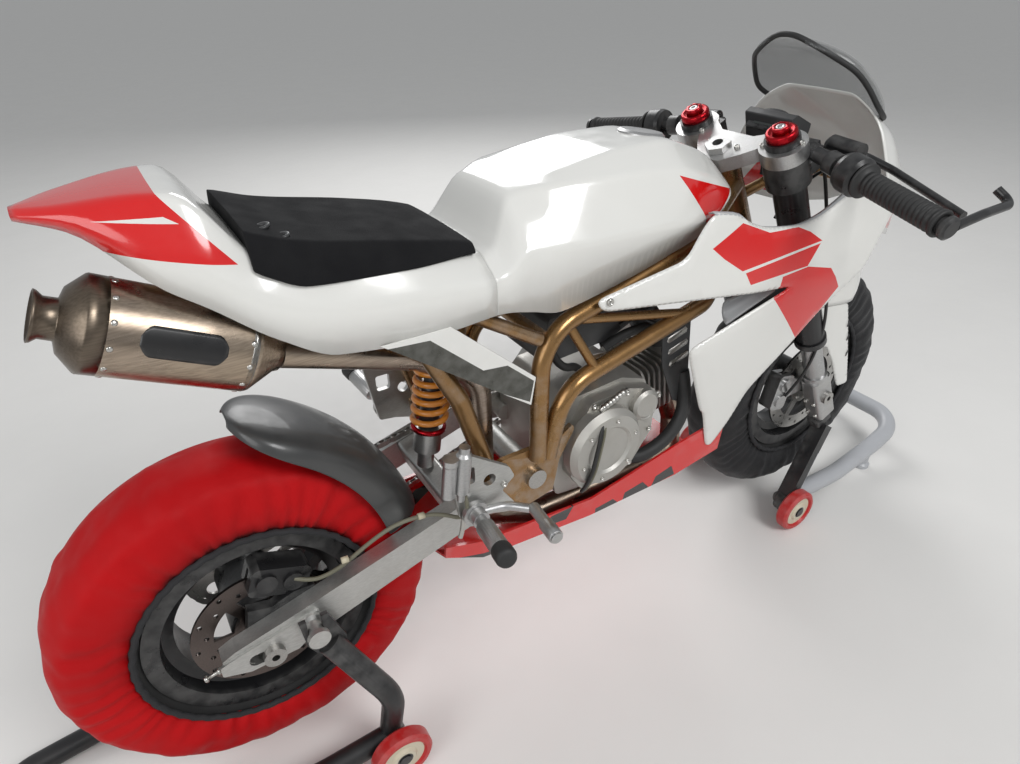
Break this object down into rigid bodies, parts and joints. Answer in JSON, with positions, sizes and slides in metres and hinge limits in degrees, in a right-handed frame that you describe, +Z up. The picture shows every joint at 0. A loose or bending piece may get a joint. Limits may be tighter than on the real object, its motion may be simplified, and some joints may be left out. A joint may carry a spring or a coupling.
{
  "type": "mini racing motorcycle on paddock stands",
  "caption": "Small road racing motorcycle with full fairing, trellis frame, upswept silencer and tyre warmers, held level by front and rear paddock stands.",
  "frame": {"origin": "on the floor under the middle of the overall length and width", "axes": "+X forward, +Y to the rider's left, +Z up"},
  "size_m": [1.85, 0.6987, 0.912],
  "materials": {
    "white_paint": "gloss white with red wedges",
    "dark_plastic": "dark satin",
    "black_metal": "satin black",
    "cast_metal": "cast, matt",
    "bare_aluminium": "machined",
    "bronze_paint": "metallic bronze",
    "steel": "bare steel",
    "titanium": "brushed, heat tinted",
    "red_cloth": "quilted nylon",
    "black_cloth": "quilted nylon",
    "foam": "closed cell foam",
    "tyre": "slick rubber",
    "grip_rubber": "moulded",
    "red_anodised": "anodised red",
    "spring_paint": "yellow lacquer",
    "screen": "lightly smoked",
    "red_paint": "gloss red"
  },
  "bodies": {
    "chassis": {"airbox_and_throttle_body": "dark_plastic", "axle_plates_and_spools": "bare_aluminium", "belly_pan": "red_paint", "chain": "steel", "clutch_cover": "cast_metal", "crankcase": "cast_metal", "cylinder_barrel": "cast_metal", "cylinder_head": "cast_metal", "dash": "dark_plastic", "exhaust_pipe": "titanium", "filler_cap": "bare_aluminium", "foot_levers": "bare_aluminium", "footpegs": "bare_aluminium", "front_stand": "black_metal", "generator_cover": "cast_metal", "nose_cowl": "white_paint", "rear_axle": "steel", "rear_brake_caliper": "black_metal", "rear_master_cylinder": "bare_aluminium", "rear_mudguard": "dark_plastic", "rear_stand": "black_metal", "rearset_plates": "bare_aluminium", "seat_and_tail": "white_paint", "seat_pad": "foam", "shock_damper": "bare_aluminium", "shock_spring": "spring_paint", "side_fairing_left": "white_paint", "side_fairing_right": "white_paint", "silencer": "titanium", "swingarm": "bare_aluminium", "swingarm_pivot_bolt": "steel", "tank_cover": "white_paint", "trellis_frame": "bronze_paint", "windscreen": "screen"},
    "fork": {"upper_yoke": "bare_aluminium", "lower_yoke_and_stem": "bare_aluminium", "fork_upper_tubes": "black_metal", "fork_lower_legs": "bare_aluminium", "fork_caps": "red_anodised", "front_axle": "steel", "clip_on_bars": "black_metal", "handlebar_grips": "grip_rubber", "bar_ends_and_lever_guard": "black_metal", "hand_controls": "black_metal", "front_brake_caliper": "bare_aluminium", "front_mudguard": "white_paint"},
    "front_wheel": {"front_rim": "black_metal", "front_tyre": "tyre", "front_tyre_warmer": "black_cloth", "front_brake_disc": "steel"},
    "rear_wheel": {"rear_rim": "black_metal", "rear_tyre": "tyre", "rear_tyre_warmer": "red_cloth", "rear_brake_disc": "steel", "rear_sprocket": "steel"}
  },
  "joints": [
    {"name": "steering", "type": "hinge", "parent": "chassis", "child": "fork", "pos_m": [0.5202, 0, 0.25415], "axis": [-0.4462, 0, 0.8949], "range_deg": [-17, 17]},
    {"name": "front_wheel_spin", "type": "hinge", "parent": "fork", "child": "front_wheel", "pos_m": [0.556, 0, 0.272], "axis": [0, 1, 0], "continuous": true},
    {"name": "rear_wheel_spin", "type": "hinge", "parent": "chassis", "child": "rear_wheel", "pos_m": [-0.524, 0, 0.2758], "axis": [0, 1, 0], "continuous": true}
  ]
}
